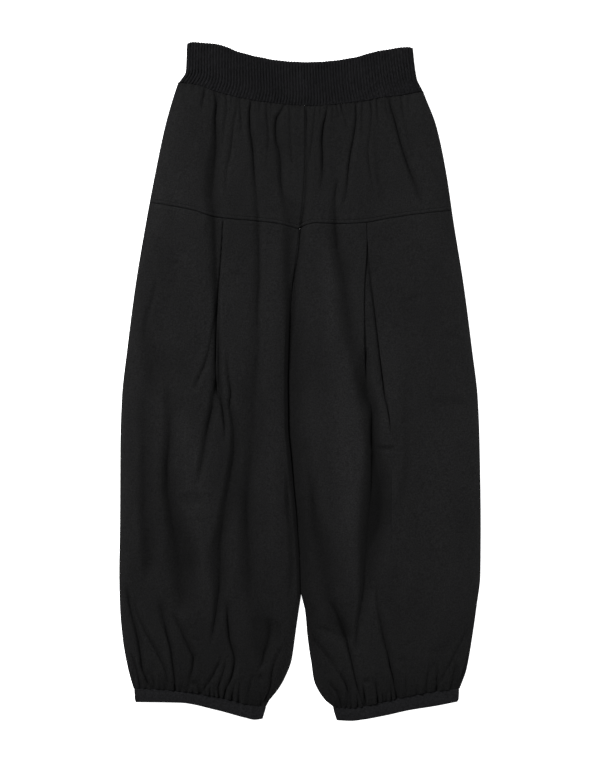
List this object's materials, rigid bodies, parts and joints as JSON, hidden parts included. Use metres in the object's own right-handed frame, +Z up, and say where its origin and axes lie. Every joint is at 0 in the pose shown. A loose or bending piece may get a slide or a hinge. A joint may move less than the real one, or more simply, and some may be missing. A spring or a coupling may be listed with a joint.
{
  "type": "balloon pants",
  "caption": "Balloon pants of matt black twill laid flat: rib-knit elastic waistband, hip yokes, pleated puffed legs gathered into narrow hem bands.",
  "frame": {"origin": "middle of the underside, on the surface that the pants lie on", "axes": "+X to the viewer's right, +Y from the hems to the waist, +Z up off the surface"},
  "size_m": [0.4787, 0.9, 0.0161],
  "materials": {
    "rib_knit": "matt black cotton rib knit over elastic",
    "twill": "matt black cotton twill with a faint dry sheen",
    "hem_twill": "matt black cotton twill, folded double and stitched"
  },
  "bodies": {
    "root": {"waistband": "rib_knit", "front_yoke_left": "twill", "front_yoke_right": "twill", "back_yoke_left": "twill", "back_yoke_right": "twill", "front_leg_left": "twill", "front_leg_right": "twill", "back_leg_left": "twill", "back_leg_right": "twill", "hem_band_left": "hem_twill", "hem_band_right": "hem_twill"}
  },
  "joints": []
}
